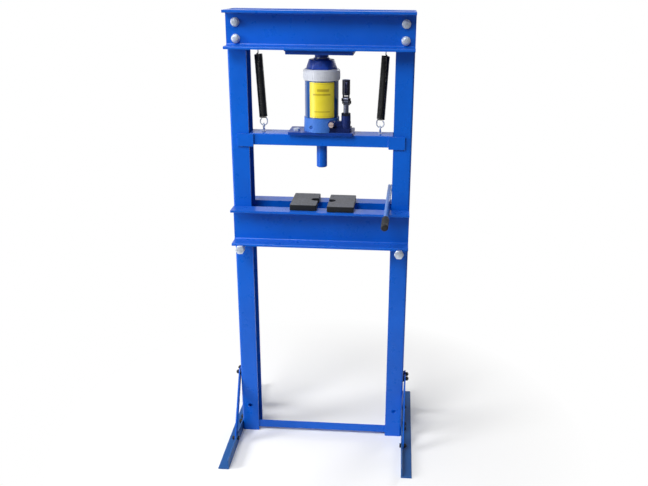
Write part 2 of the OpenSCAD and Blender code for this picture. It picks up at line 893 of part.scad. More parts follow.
module handle_socket() {
    color([0.04, 0.04, 0.05]) difference() {
        union() {
            translate([pump_x, pump_y, sleeve_z]) cylinder(r = sleeve_r, h = sleeve_h);
            for (s = [-1, 1]) {
                translate([pump_x + s * (eye_t / 2 + rest_gap + ear_t / 2) - ear_t / 2, 0, 0]) to_x()
                    linear_extrude(ear_t) ear2d();
            }
        }
        translate([pump_x, pump_y, sleeve_z - 1]) cylinder(r = bar_r + 1, h = sleeve_h + 2);
        translate([pump_x - eye_t / 2 - rest_gap, pump_y - 20, sleeve_z - 30])
            cube([eye_t + 2 * rest_gap, 60, 30]);
        translate([pump_x, pump_y - 20, sleeve_z + 8]) to_y() linear_extrude(20) {
            circle(3.5);
            translate([0, 8 - sleeve_h / 2]) square([7, sleeve_h - 16], center = true);
            translate([0, 16 - sleeve_h]) circle(3.5);
        }
        translate([pump_x - 20, pump_y, plunger_pin_z]) to_x() cylinder(d = pin_d + 2 * run_gap, h = 40);
        translate([pump_x - 20, fulcrum_y, fulcrum_z]) to_x() cylinder(d = pin_d + 2 * run_gap, h = 40);
    }
}

// Side plate of the socket; its own axes run down (-Z) and to the rear (+Y).
module ear2d() {
    translate([-plunger_pin_z, pump_y]) circle(eye_r);
    translate([-fulcrum_z, fulcrum_y]) circle(8);
    translate([-sleeve_z - 8, pump_y - 7]) square([sleeve_z + 8 - plunger_pin_z, 14]);
    polygon([[-plunger_pin_z - 7, pump_y - 4], [-plunger_pin_z + 6, pump_y - 5],
        [-fulcrum_z + 7, fulcrum_y - 3], [-fulcrum_z - 6, fulcrum_y + 4]]);
}

module release_valve() {
    color([0.72, 0.62, 0.6]) translate([valve_x, 0, valve_z]) difference() {
        union() {
            translate([0, valve_face - 12, 0]) to_y() cylinder(r = 7, h = 12 - rest_gap);
            translate([0, valve_face - 1, 0]) to_y() cylinder(r = valve_r, h = 15);
        }
        translate([-8, valve_face - 13, -1.5]) cube([16, 6, 3]);
    }
}

// ---- choice of part ----

left_post();
right_post();
top_beam_front();
top_beam_rear();
beam_bolts();
beam_washers();
beam_nuts();
head_plate();
spring_hangers();
left_foot();
right_foot();
foot_bolts();
foot_nuts();
left_braces();
right_braces();
brace_spacers();
brace_bolts();
brace_nuts();
tie_bar();
bed_bolts();
bed_nuts();
bed_front();
bed_rear();
bed_spacers();
press_plate_left();
press_plate_right();
handle_bar();
handle_grip();
table_beam();
guide_plates();
press_ram();
jack_plate();
plate_bolts();
plate_nuts();
eye_bolts();
eye_nuts();
spring_left();
spring_right();
jack_base();
base_screws();
tank();
tank_label();
tank_nut();
cap_nut();
cylinder_tube();  // cylinder
filler_plug();
pump_gland();
fulcrum_link();
fulcrum_pin();
piston_rod();
saddle();
piston_seal();
plunger();
handle_socket();
lever_pins();
release_valve();
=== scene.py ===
"""Hydraulic press: looks, floor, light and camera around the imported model. Metres, +Z up, front facing -Y."""

import math
import random

import bmesh
import bpy
from mathutils import Matrix, Vector

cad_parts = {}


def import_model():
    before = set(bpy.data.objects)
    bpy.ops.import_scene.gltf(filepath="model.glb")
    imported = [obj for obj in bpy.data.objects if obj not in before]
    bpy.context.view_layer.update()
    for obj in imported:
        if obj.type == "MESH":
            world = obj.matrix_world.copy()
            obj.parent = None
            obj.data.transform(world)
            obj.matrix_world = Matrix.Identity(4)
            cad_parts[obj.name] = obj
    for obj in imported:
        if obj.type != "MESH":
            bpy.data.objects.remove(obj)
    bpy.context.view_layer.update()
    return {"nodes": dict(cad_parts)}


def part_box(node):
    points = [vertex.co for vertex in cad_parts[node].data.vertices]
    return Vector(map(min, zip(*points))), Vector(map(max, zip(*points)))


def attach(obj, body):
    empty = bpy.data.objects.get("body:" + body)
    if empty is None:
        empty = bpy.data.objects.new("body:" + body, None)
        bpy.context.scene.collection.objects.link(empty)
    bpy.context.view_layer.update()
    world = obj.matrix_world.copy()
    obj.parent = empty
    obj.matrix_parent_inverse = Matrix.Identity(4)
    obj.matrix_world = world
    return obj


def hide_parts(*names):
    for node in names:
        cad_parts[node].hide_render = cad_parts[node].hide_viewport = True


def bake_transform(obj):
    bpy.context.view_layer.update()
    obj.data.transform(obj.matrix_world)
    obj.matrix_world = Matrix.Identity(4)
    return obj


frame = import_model()
nodes = frame["nodes"]
MM = 0.001
DOUBLES = 0.01 * MM          # corners nearer than this are one corner
ACROSS, FRONT_BACK, UPRIGHT = 0, 1, 2


# ---- working in Blender ----

def only(*objects):
    """Selects these objects and nothing else; the last one becomes active."""
    if bpy.context.object and bpy.context.object.mode != "OBJECT":
        bpy.ops.object.mode_set(mode="OBJECT")
    bpy.ops.object.select_all(action="DESELECT")
    for item in objects:
        item.select_set(True)
    bpy.context.view_layer.objects.active = objects[-1]


def modify(item, kind, **settings):
    """Adds a modifier and applies it."""
    only(item)
    tool = item.modifiers.new(kind.title(), kind)
    for name, value in settings.items():
        setattr(tool, name, value)
    bpy.ops.object.modifier_apply(modifier=tool.name)
    return item


def settle(item):
    """Puts the object's place, turn and scale into its mesh."""
    only(item)
    bpy.ops.object.transform_apply(location=True, rotation=True, scale=True)
    return item


def named(name):
    """Names the active object."""
    item = bpy.context.object
    item.name = name
    item.data.name = name
    return item


def smooth(item, degrees):
    """Smooth shading that keeps edges sharper than the angle."""
    only(item)
    bpy.ops.object.shade_smooth_by_angle(angle=math.radians(degrees))
    return item


def join(name, *items):
    """Joins pieces of one kind into one object."""
    only(*items)
    if len(items) > 1:
        bpy.ops.object.join()
    return named(name)


def copies(item, places):
    """Copies of a piece, each with its own mesh, one at each matrix; the piece itself is used up."""
    made = []
    for place in places:
        twin = bpy.data.objects.new(item.name, item.data.copy())
        bpy.context.scene.collection.objects.link(twin)
        twin.data.transform(place)
        made.append(twin)
    bpy.data.objects.remove(item)
    return made


def dress(item, *materials):
    """Gives the object these materials in order."""
    item.data.materials.clear()
    for material in materials:
        item.data.materials.append(material)
    return item


def pick(item, kind, chosen):
    """Enters edit mode with only the faces or edges (FACE or EDGE) that chosen accepts selected."""
    only(item)
    bpy.ops.object.mode_set(mode="EDIT")
    bpy.ops.mesh.select_mode(type=kind)
    bpy.ops.mesh.select_all(action="DESELECT")
    bpy.ops.object.mode_set(mode="OBJECT")
    for piece in item.data.polygons if kind == "FACE" else item.data.edges:
        piece.select = chosen(piece)
    bpy.ops.object.mode_set(mode="EDIT")


def part(item, body, slot, *stands_for):
    """Says which body a new piece moves with and which plain solids it stands for. Its slot, the finish, is not used.
    """
    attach(item, body)
    if stands_for:
        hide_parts(*stands_for)
    return item


# ---- materials ----

def hex_colour(code):
    """Linear RGBA from an sRGB hex value."""
    values = [int(code[i:i + 2], 16) / 255 for i in (1, 3, 5)]
    return [v / 12.92 if v <= 0.04045 else ((v + 0.055) / 1.055) ** 2.4 for v in values] + [1.0]


def add(tree, kind, inputs=None, out=0, **settings):
    """Adds a node with its settings and returns one of its outputs. An input takes another node's output, a value or
    a hex colour."""
    node = tree.nodes.new("ShaderNode" + kind)
    for name, value in settings.items():
        setattr(node, name, value)
    for socket, value in (inputs or {}).items():
        if isinstance(value, bpy.types.NodeSocket):
            tree.links.new(value, node.inputs[socket])
        else:
            node.inputs[socket].default_value = hex_colour(value) if isinstance(value, str) else value
    return node.outputs[out]


def new_material(name, **shader):
    """An empty material: its tree, its shader with fixed values, and object coordinates."""
    material = bpy.data.materials.new(name)
    material.use_nodes = True
    tree = material.node_tree
    principled = tree.nodes["Principled BSDF"]
    for socket, value in shader.items():
        principled.inputs[socket.replace("_", " ")].default_value = value
    return material, tree, principled, add(tree, "TexCoord", out="Object")


def two_shades(tree, pattern, low, high, dark, light):
    """Two shades of one finish: dark where the pattern is under low, light where it is over high."""
    share = add(tree, "MapRange", {"Value": pattern, "From Min": low, "From Max": high})
    return add(tree, "Mix", {0: share, 6: dark, 7: light}, 2, data_type="RGBA")


def surface(tree, principled, colour, relief, depth, strength, roughness=None):
    """Gives the shader its colour, its relief of a real depth in metres, and its roughness where that varies."""
    tree.links.new(colour, principled.inputs["Base Color"])
    if roughness is not None:
        tree.links.new(roughness, principled.inputs["Roughness"])
    normal = add(tree, "Bump", {"Height": relief, "Distance": depth, "Strength": strength})
    tree.links.new(normal, principled.inputs["Normal"])


def enamel(name, colour, shade, roughness, specular, dust):
    """Gloss enamel sprayed on rolled steel: a deep colour whose film is thicker or thinner from place to place, with
    the ripple of orange peel, drawn at 5 mm so that it shows, dull handled patches, hair scratches, and fine pale
    workshop dust where a face lies level. That pale dust is also painted sheen, standing in for the pale reflection on
    level faces."""
    material, tree, principled, place = new_material(name, IOR=1.5, Specular_IOR_Level=specular)
    film = add(tree, "TexNoise", {"Vector": place, "Scale": 1 / (160 * MM), "Detail": 3})
    paint = two_shades(tree, film, 0.3, 0.7, shade, colour)

    drawn_out = add(tree, "Mapping", {"Vector": place, "Scale": (1, 1, 0.06)})
    hairs = add(tree, "TexNoise", {"Vector": drawn_out, "Scale": 1 / (20 * MM), "Roughness": 0.4})
    hairs = add(tree, "MapRange", {"Value": hairs, "From Min": 0.7, "From Max": 0.73})
    scuffs = add(tree, "TexNoise", {"Vector": place, "Scale": 1 / (60 * MM)})
    scuffs = add(tree, "MapRange", {"Value": scuffs, "From Min": 0.55, "From Max": 0.65, "To Max": 0.3})
    scratches = add(tree, "Math", {0: hairs, 1: scuffs}, operation="MULTIPLY")
    paint = add(tree, "Mix", {0: scratches, 6: paint, 7: "#7d9bd0"}, 2, data_type="RGBA")

    normal = add(tree, "NewGeometry", out="Normal")
    # Pale workshop dust on level faces, which is also painted sheen standing in for their pale reflection.
    level_dust_and_sheen = add(tree, "MapRange", {"Value": add(tree, "SeparateXYZ", {"Vector": normal}, "Z"),
                                        "From Min": 0.8, "From Max": 0.97, "To Max": dust})
    dust_and_sheen_grains = add(tree, "TexNoise", {"Vector": place, "Scale": 1 / (20 * MM), "Detail": 5, "Roughness": 0.7})
    dust_and_sheen_grains = add(tree, "MapRange", {"Value": dust_and_sheen_grains, "From Min": 0.25, "From Max": 0.7, "To Min": 0.5})
    dusty = add(tree, "Math", {0: level_dust_and_sheen, 1: dust_and_sheen_grains}, operation="MULTIPLY")
    paint = add(tree, "Mix", {0: dusty, 6: paint, 7: "#b4c3dc"}, 2, data_type="RGBA")

    rub = add(tree, "TexNoise", {"Vector": place, "Scale": 1 / (35 * MM), "Detail": 5, "Roughness": 0.65})
    rub = add(tree, "MapRange", {"Value": rub, "From Min": 0.35, "From Max": 0.75,
                                 "To Min": roughness - 0.05, "To Max": roughness + 0.12})
    peel = add(tree, "TexNoise", {"Vector": place, "Scale": 1 / (5 * MM)})
    surface(tree, principled, paint, peel, 0.2 * MM, 0.35, rub)
    return material


def worn_edge(name, colour):
    """The same enamel where it pulls thin over an edge: lighter, with small bare spots of a few millimetres."""
    material, tree, principled, place = new_material(name, IOR=1.5, Specular_IOR_Level=0.2, Roughness=0.42)
    chips = add(tree, "TexNoise", {"Vector": place, "Scale": 1 / (12 * MM), "Detail": 4, "Roughness": 0.6})
    paint = two_shades(tree, chips, 0.64, 0.72, colour, "#8c97a6")
    ripple = add(tree, "TexNoise", {"Vector": place, "Scale": 1 / (3 * MM)})
    surface(tree, principled, paint, ripple, 0.2 * MM, 0.4)
    return material


def cast_paint(name, colour, shade, roughness, specular):
    """Enamel over a sand casting: the grain of the sand shows through as 3 mm lumps, darker in the hollows."""
    material, tree, principled, place = new_material(name, IOR=1.5, Specular_IOR_Level=specular, Roughness=roughness)
    sand = add(tree, "TexNoise", {"Vector": place, "Scale": 1 / (3 * MM), "Detail": 4, "Roughness": 0.6})
    paint = two_shades(tree, sand, 0.3, 0.65, shade, colour)
    surface(tree, principled, paint, sand, 0.6 * MM, 0.6)
    return material


def cast_iron(name, hollow, high, rust):
    """Grey iron plates as cast and tumbled: mottled dark grey with a fine skin, drawn at 2.5 mm so that it shows, and
    paler high spots."""
    material, tree, principled, place = new_material(name, Metallic=0.2, Specular_IOR_Level=0.3)
    skin = add(tree, "TexNoise", {"Vector": place, "Scale": 1 / (2.5 * MM), "Detail": 4, "Roughness": 0.55})
    iron = two_shades(tree, skin, 0.3, 0.75, hollow, high)
    bloom = add(tree, "TexNoise", {"Vector": place, "Scale": 1 / (30 * MM), "Detail": 3})
    bloom = add(tree, "MapRange", {"Value": bloom, "From Min": 0.35, "From Max": 0.7, "To Max": 0.35})
    iron = add(tree, "Mix", {0: bloom, 6: iron, 7: rust}, 2, data_type="RGBA")
    worn = add(tree, "MapRange", {"Value": skin, "From Min": 0.3, "From Max": 0.7, "To Min": 0.62, "To Max": 0.45})
    surface(tree, principled, iron, skin, 0.6 * MM, 0.5, worn)
    return material


def plated(name, colour, dull, roughness, metallic):
    """Bright zinc on steel: silvery with a faint blue, cloudy from the bath, with hair scratches 2 mm long."""
    material, tree, principled, place = new_material(name, Metallic=metallic)
    cloud = add(tree, "TexNoise", {"Vector": place, "Scale": 1 / (8 * MM), "Detail": 4, "Roughness": 0.6})
    zinc = two_shades(tree, cloud, 0.3, 0.7, dull, colour)
    pressed = add(tree, "Mapping", {"Vector": place, "Scale": (1, 1, 12)})
    hairs = add(tree, "TexNoise", {"Vector": pressed, "Scale": 1 / (2 * MM)})
    hairs = add(tree, "MapRange", {"Value": hairs, "From Min": 0.3, "From Max": 0.7,
                                   "To Min": roughness - 0.06, "To Max": roughness + 0.14})
    surface(tree, principled, zinc, cloud, 0.1 * MM, 0.4, hairs)
    return material


def ground_steel(name, colour, groove, roughness):
    """Ground and polished steel rod: fine rings round the rod, drawn 0.8 mm apart so that they show."""
    material, tree, principled, place = new_material(name, Metallic=1.0)
    pressed = add(tree, "Mapping", {"Vector": place, "Scale": (1, 1, 25)})
    rings = add(tree, "TexNoise", {"Vector": pressed, "Scale": 1 / (20 * MM), "Detail": 3, "Roughness": 0.6})
    steel = two_shades(tree, rings, 0.3, 0.7, groove, colour)
    shine = add(tree, "MapRange", {"Value": rings, "From Min": 0.3, "From Max": 0.7,
                                   "To Min": roughness, "To Max": roughness + 0.12})
    surface(tree, principled, steel, rings, 0.05 * MM, 0.5, shine)
    return material


def black_finish(name, colour, high, roughness, metallic):
    """Blackened steel: near black with a bloom of 6 mm patches, slightly oily, rubbed paler on its high spots."""
    material, tree, principled, place = new_material(name, Metallic=metallic)
    bloom = add(tree, "TexNoise", {"Vector": place, "Scale": 1 / (6 * MM), "Detail": 4, "Roughness": 0.6})
    black = two_shades(tree, bloom, 0.45, 0.75, colour, high)
    oily = add(tree, "MapRange", {"Value": bloom, "From Min": 0.3, "From Max": 0.7,
                                  "To Min": roughness, "To Max": roughness + 0.15})
    surface(tree, principled, black, bloom, 0.2 * MM, 0.4, oily)
    return material


def rubber(name, colour, dusty):
    """Moulded natural rubber: matt black, dusty grey where hands have rubbed it, with a 1.5 mm moulded grain."""
    material, tree, principled, place = new_material(name, IOR=1.52, Specular_IOR_Level=0.35)
    dust = add(tree, "TexNoise", {"Vector": place, "Scale": 1 / (10 * MM), "Detail": 5, "Roughness": 0.65})
    black = two_shades(tree, dust, 0.45, 0.8, colour, dusty)
    matt = add(tree, "MapRange", {"Value": dust, "From Min": 0.3, "From Max": 0.7, "To Min": 0.55, "To Max": 0.8})
    grain = add(tree, "TexNoise", {"Vector": place, "Scale": 1 / (1.5 * MM)})
    surface(tree, principled, black, grain, 0.15 * MM, 0.5, matt)
    return material


LABEL_HALF_ANGLE = math.radians(45)
LABEL_BORDER = (6, 8.5)                                   # how far the border's two edges lie in from the film, mm
LABEL_BARS = (((3, 27), (34, 7)), ((-1, 15.5), (50, 4.5)), ((0, -31), (44, 2.5)))   # middle and size, mm


def printed_box(tree, across, up, centre, size):
    """A rectangle of the print, 1 inside and 0 outside; centre and size in millimetres."""
    soft = 0.4 * MM
    sides = []
    for along, middle, length in zip((across, up), centre, size):
        away = add(tree, "Math", {0: along, 1: -middle * MM}, operation="ADD")
        away = add(tree, "Math", {0: away}, operation="ABSOLUTE")
        half = length * MM / 2
        sides.append(add(tree, "MapRange", {"Value": away, "From Min": half + soft, "From Max": half - soft}))
    return add(tree, "Math", {0: sides[0], 1: sides[1]}, operation="MULTIPLY")


def label_film(name, centre_z, high, radius, turn):
    """Printed polyester film on the tank: strong yellow, a thin dark border and three plain printed bars. The print is
    placed round the tank by its angle and up the tank by its height."""
    material, tree, principled, place = new_material(name, IOR=1.5, Roughness=0.3, Coat_Weight=0.4)
    x, y, z = (add(tree, "SeparateXYZ", {"Vector": place}, axis) for axis in "XYZ")
    front = add(tree, "Math", {0: y, 1: -1.0}, operation="MULTIPLY")
    angle = add(tree, "Math", {0: x, 1: front}, operation="ARCTAN2")
    angle = add(tree, "Math", {0: angle, 1: turn}, operation="ADD")
    across = add(tree, "Math", {0: angle, 1: radius}, operation="MULTIPLY")
    up = add(tree, "Math", {0: z, 1: -centre_z}, operation="ADD")

    cloud = add(tree, "TexNoise", {"Vector": place, "Scale": 1 / (30 * MM), "Detail": 3})
    colour = two_shades(tree, cloud, 0.3, 0.7, "#d8c722", "#e0d034")
    wide, tall = 2 * radius * LABEL_HALF_ANGLE / MM, high / MM
    outer, inner = (printed_box(tree, across, up, (0, 0), (wide - inset, tall - inset)) for inset in LABEL_BORDER)
    border = add(tree, "Math", {0: outer, 1: inner}, operation="SUBTRACT")
    prints = [(border, 0.5)] + [(printed_box(tree, across, up, *bar), 0.75) for bar in LABEL_BARS]
    for shape, strength in prints:
        ink = add(tree, "Math", {0: shape, 1: strength}, operation="MULTIPLY")
        colour = add(tree, "Mix", {0: ink, 6: colour, 7: "#9a8412"}, 2, data_type="RGBA")
    waves = add(tree, "TexNoise", {"Vector": place, "Scale": 1 / (12 * MM)})
    surface(tree, principled, colour, waves, 0.1 * MM, 0.3)
    return material


# paints
BLUE = enamel("frame_enamel_blue", "#005bc8", "#0052b8", roughness=0.3, specular=0.3, dust=0.03)
BLUE_EDGE = worn_edge("frame_enamel_edge", "#0755ba")
# The feet: a darker, greyer copy of the frame's blue, painted shade.
FOOT_SHADE_BLUE = enamel("foot_enamel_painted_shade", "#285c9b", "#22508b", roughness=0.45, specular=0.14, dust=0.0)
# A darker copy of the frame's blue and its edge, as painted shade: the head plate and spring hangers under the top
# beams, the jack plate under the jack, and the feet's edges.
DEEP_SHADE_BLUE = enamel("head_enamel_painted_shade", "#013996", "#002f7c", roughness=0.38, specular=0.3, dust=0.06)
DEEP_SHADE_EDGE = worn_edge("head_enamel_edge_painted_shade", "#123f96")
TANK_BLUE = enamel("tank_enamel", "#174f94", "#12407c", roughness=0.15, specular=0.85, dust=0.3)
CAST_BLUE = cast_paint("jack_casting_blue", "#3d70c2", "#3061b2", roughness=0.45, specular=0.25)
CAST_DARK = cast_paint("cap_casting_navy", "#0b3ea6", "#082d7c", roughness=0.36, specular=0.3)
# Darker navy for the pump body beside the tank: painted shade.
PUMP_SHADE_NAVY = cast_paint("pump_casting_painted_shade", "#14286a", "#0b1944", roughness=0.42, specular=0.2)
WHITE = enamel("band_silver_paint", "#cbced6", "#b4b8c2", roughness=0.3, specular=0.5, dust=0.3)
TUBE = enamel("handle_tube_paint", "#4478c5", "#3c6cb7", roughness=0.36, specular=0.3, dust=0.0)

# bare and plated metals, and rubber
IRON = cast_iron("press_plate_iron", "#4a4d55", "#70737b", "#4c4a48")
# Cast skin for the plates' sides, made near black in part as painted shade on those faces.
IRON_SKIN_SHADE = cast_iron("press_plate_cast_skin_painted_shade", "#0f1114", "#25272c", "#171617")
ZINC = plated("bright_zinc", "#d9e2f0", "#a4aebf", roughness=0.32, metallic=0.6)
PINK_ZINC = plated("valve_zinc", "#e0cfcb", "#b8a4a2", roughness=0.35, metallic=0.55)
# Zinc painted darker and bluer as shade inside the socket's bore.
BORE_ZINC_SHADE = plated("socket_bore_zinc_painted_shade", "#8a90b8", "#666c96", roughness=0.45, metallic=0.5)
STEEL = ground_steel("ground_steel", "#b9bcc2", "#94989f", roughness=0.22)
# Ground steel painted darker and bluer as shade, for the plunger beside the tank.
PLUNGER_SHADE_STEEL = ground_steel("plunger_steel_painted_shade", "#767b8e", "#55596a", roughness=0.3)
BLACK = black_finish("black_oxide", "#15161a", "#2c2e34", roughness=0.38, metallic=0.6)
SPRING_BLACK = black_finish("spring_wire_black", "#08090b", "#1c1e23", roughness=0.36, metallic=0.35)
SOCKET_BLACK = black_finish("socket_black", "#0b0f22", "#20263c", roughness=0.22, metallic=0.3)
RUBBER = rubber("grip_rubber", "#121315", "#303236")


# ---- pieces ----

def rounded(node, body, slot, width, *materials, angle=40, steps=2):
    """The solid of a CAD node with its corners broken by a small round, whose faces take the second material."""
    source = nodes[node]
    item = bpy.data.objects.new(node + "_finished", source.data.copy())
    bpy.context.scene.collection.objects.link(item)
    dress(item, *materials)
    modify(item, "WELD", merge_threshold=DOUBLES)
    modify(item, "DECIMATE", decimate_type="DISSOLVE", angle_limit=math.radians(0.5))
    smooth(item, angle)
    modify(item, "BEVEL", width=width, segments=steps, limit_method="ANGLE", angle_limit=math.radians(angle),
           harden_normals=True, material=len(materials) - 1)
    return part(item, body, slot, node)


def solids(node):
    """The lowest and highest corner of each separate solid in a CAD node, sorted, so that each run is the same."""
    shell = bmesh.new()
    shell.from_mesh(nodes[node].data)
    bmesh.ops.remove_doubles(shell, verts=shell.verts, dist=DOUBLES)
    left = set(shell.verts)
    boxes = []
    while left:
        island, edge = set(), {left.pop()}
        while edge:
            island |= edge
            edge = {e.other_vert(v) for v in edge for e in v.link_edges} - island
        left -= island
        corners = [v.co for v in island]
        boxes.append((Vector([min(c[i] for c in corners) for i in range(3)]),
                      Vector([max(c[i] for c in corners) for i in range(3)])))
    shell.free()
    return sorted(boxes, key=lambda box: [round(value, 4) for value in box[0]])


def turned(axis, place):
    """The matrix that takes something built upright to an axis at a place."""
    turn = {ACROSS: Matrix.Rotation(math.pi / 2, 4, "Y"), FRONT_BACK: Matrix.Rotation(-math.pi / 2, 4, "X"),
            UPRIGHT: Matrix.Identity(4)}
    return Matrix.Translation(place) @ turn[axis]


def close_ends(item):
    """Closes the open ends of a swept shape and turns its faces outwards."""
    only(item)
    bpy.ops.object.mode_set(mode="EDIT")
    bpy.ops.mesh.select_all(action="SELECT")
    bpy.ops.mesh.fill_holes(sides=8)
    bpy.ops.mesh.normals_make_consistent(inside=False)
    bpy.ops.object.mode_set(mode="OBJECT")
    return item


def threads(bolts, nuts, body, slot, axis, diameter, pitch, material):
    """The screw threads that stand out past each nut: one three-sided ridge wound round the bolt's end."""
    low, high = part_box(bolts)
    ridge_radius, sunk, threaded, steps = pitch * 0.46, pitch * 0.16, 0.92, 18
    made = []
    for nut_low, nut_high in solids(nuts):
        middle = (nut_low + nut_high) / 2
        nut_at_high_end = abs(high[axis] - nut_high[axis]) < abs(nut_low[axis] - low[axis])
        start, end = (nut_high[axis], high[axis]) if nut_at_high_end else (low[axis], nut_low[axis])
        turns = int((end - start) * threaded / pitch)
        bpy.ops.mesh.primitive_circle_add(vertices=3, radius=ridge_radius, location=(diameter / 2 - sunk, 0, 0),
                                          rotation=(math.pi / 2, math.pi / 2, 0))
        ridge = settle(named("thread"))
        modify(ridge, "SCREW", axis="Z", angle=math.tau, screw_offset=pitch, iterations=turns, steps=steps,
               render_steps=steps, use_smooth_shade=False)
        place = middle.copy()
        place[axis] = start + (end - start - turns * pitch) / 2
        made += copies(ridge, [turned(axis, place)])
    return part(dress(close_ends(join(bolts + "_threads", *made)), material), body, slot)


def round_bar(name, radius, facets, *paths):
    """Round bars with closed ends, as one mesh: each path is a list of points and how thick the bar is there."""
    line = bpy.data.curves.new(name, "CURVE")
    line.dimensions = "3D"
    line.bevel_depth = radius
    line.bevel_resolution = facets
    line.use_fill_caps = True
    for path in paths:
        spline = line.splines.new("POLY")
        spline.points.add(len(path) - 1)
        for point, (place, thickness) in zip(spline.points, path):
            point.co = (*place, 1)
            point.radius = thickness
    bar = bpy.data.objects.new(name, line)
    bpy.context.scene.collection.objects.link(bar)
    only(bar)
    bpy.ops.object.convert(target="MESH")
    return named(name)


def welds(name, body, slot, material, *runs):
    """Weld beads, painted over: each run is its size and its points, and the bead swells every four steps."""
    step, stray, swell, unevenness = 0.6 * MM, 0.12, 0.2, 0.05
    chance = random.Random(7)
    beads = []
    for size, *corners in runs:
        path = []
        for a, b in zip(corners, corners[1:]):
            a, b = Vector(a), Vector(b)
            steps = max(2, round((b - a).length / step))
            path += [a.lerp(b, i / steps) for i in range(steps)]
        path.append(Vector(corners[-1]))
        bead = []
        for i, place in enumerate(path):
            place = place + Vector([chance.uniform(-stray, stray) * MM for _ in range(3)])
            thickness = 1 + swell * math.sin(i * math.tau / 4) + chance.uniform(-unevenness, unevenness)
            bead.append((place, size * thickness))
        beads.append(bead)
    return part(dress(smooth(round_bar(name, MM, 1, *beads), 60), material), body, slot)


def around(centre, axis, radius, steps=24):
    """Points of a closed circle about a point, square to an axis (ACROSS, FRONT_BACK or UPRIGHT)."""
    ring = []
    for i in range(steps + 1):
        turn = math.tau * i / steps
        point = [radius * math.cos(turn), radius * math.sin(turn)]
        point.insert(axis, 0.0)
        ring.append(Vector(centre) + Vector(point))
    return ring


def frame_welds():
    """Beads that hold the head plate, hanger bars, bed spacers and tie bar."""
    runs = []
    out, back = 0.6 * MM, 0.8 * MM          # a bead's middle lies out of one face and back from the other
    low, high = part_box("head_plate")
    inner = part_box("top_beam_rear")[0].y + 4 * MM
    left, right, z = low.x - out, high.x + out, high.z - back
    for side in (-1, 1):
        y, near = side * (high.y + out), side * inner
        runs.append((2.4, (left, near, z), (left, y, z), (right, y, z), (right, near, z)))
    for low, high in solids("spring_hangers"):
        middle = (low + high) / 2
        for y in (low.y + back, high.y - back):
            runs.append((1.8, *around((middle.x, y, middle.z), FRONT_BACK, (high.x - low.x) / 2 + back)))
    for low, high in solids("bed_spacers"):
        for x in (low.x - out, high.x + out):
            for y in (low.y + back, high.y - back):
                runs.append((2.2, (x, y, low.z), (x, y, high.z)))
    low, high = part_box("tie_bar")
    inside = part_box("left_post")[1].x
    y, z = low.y + out, high.z + 0.4 * MM
    for x, end in ((inside, low.x), (-inside, high.x)):
        runs.append((1.8, (x, y, z), (end, y, z)))
    welds("frame_weld_beads", "frame", "frame_blue", BLUE_EDGE, *runs)


def table_welds():
    """Beads along the guide plates' inner edges and round the press ram."""
    runs = []
    out, back, short, ram_gap = 0.5 * MM, 1.0 * MM, 1.5 * MM, 0.8 * MM
    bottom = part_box("table_beam")[0].z
    for low, high in solids("guide_plates"):
        x = low.x - out if low.x > 0 else high.x + out
        y = low.y + back if low.y > 0 else high.y - back
        runs.append((2.3, (x, y, bottom + short), (x, y, high.z - short)))
    low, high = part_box("press_ram")
    runs.append((2.2, *around((0, 0, high.z - ram_gap), UPRIGHT, high.x + ram_gap, 40)))
    welds("table_weld_beads", "table", "frame_blue", BLUE_EDGE, *runs)


def steelwork():
    """Posts, beams, plates, feet and bed: the sheared and rolled steel, painted over."""
    corner = 0.7 * MM
    # Painted shade: the feet take a darker, greyer copy of the frame's blue.
    for node in ("left_foot", "right_foot"):
        rounded(node, "frame", "deep_blue", corner, FOOT_SHADE_BLUE, DEEP_SHADE_EDGE)
    for node in ("left_post", "right_post", "top_beam_front", "top_beam_rear", "left_braces", "right_braces",
                 "tie_bar", "bed_front", "bed_rear", "bed_spacers"):
        rounded(node, "frame", "frame_blue", corner, BLUE, BLUE_EDGE)
    for node in ("table_beam", "guide_plates"):
        rounded(node, "table", "frame_blue", corner, BLUE, BLUE_EDGE)
    # The head plate and jack plate take the darker blue as painted shade.
    rounded("head_plate", "frame", "deep_blue", 0.9 * MM, DEEP_SHADE_BLUE, DEEP_SHADE_EDGE)
    rounded("jack_plate", "table", "deep_blue", corner, DEEP_SHADE_BLUE, DEEP_SHADE_EDGE)
    rounded("press_ram", "table", "frame_blue", 0.5 * MM, BLUE, BLUE_EDGE)


def press_plates():
    """The two cast plates: soft corners, the flat faces rubbed paler than the dark cast skin of the sides, whose near
    black is in part painted shade.
    """
    flat = 0.8                              # a face whose normal stands up or down by more than this is flat
    for node, body in (("press_plate_left", "plate_left"), ("press_plate_right", "plate_right")):
        plate = rounded(node, body, "cast_grey", 1.8 * MM, IRON, IRON_SKIN_SHADE, steps=3)
        for face in plate.data.polygons:
            face.material_index = 0 if abs(face.normal.z) > flat else 1


def fasteners():
    """Bolts, nuts, washers and eye bolts from the solids, with their edges broken."""
    for node in ("beam_bolts", "beam_washers", "beam_nuts", "bed_bolts", "bed_nuts"):
        rounded(node, "frame", "zinc", 0.35 * MM, ZINC)
    for node in ("foot_bolts", "foot_nuts", "brace_spacers", "brace_bolts", "brace_nuts"):
        rounded(node, "frame", "black_oxide", 0.3 * MM, BLACK)
    rounded("eye_bolts", "table", "zinc", 0.2 * MM, ZINC)


def all_threads():
    """Threads on every bolt end that stands out of its nut, at each size's usual pitch."""
    threads("beam_bolts", "beam_nuts", "frame", "zinc", FRONT_BACK, 12 * MM, 1.75 * MM, ZINC)
    threads("bed_bolts", "bed_nuts", "frame", "zinc", FRONT_BACK, 16 * MM, 2.0 * MM, ZINC)
    threads("foot_bolts", "foot_nuts", "frame", "black_oxide", ACROSS, 10 * MM, 1.5 * MM, BLACK)
    threads("brace_bolts", "brace_nuts", "frame", "black_oxide", ACROSS, 8 * MM, 1.25 * MM, BLACK)
    threads("plate_bolts", "plate_nuts", "table", "zinc", UPRIGHT, 10 * MM, 1.5 * MM, ZINC)
    threads("eye_bolts", "eye_nuts", "table", "zinc", UPRIGHT, 6 * MM, 1.0 * MM, ZINC)


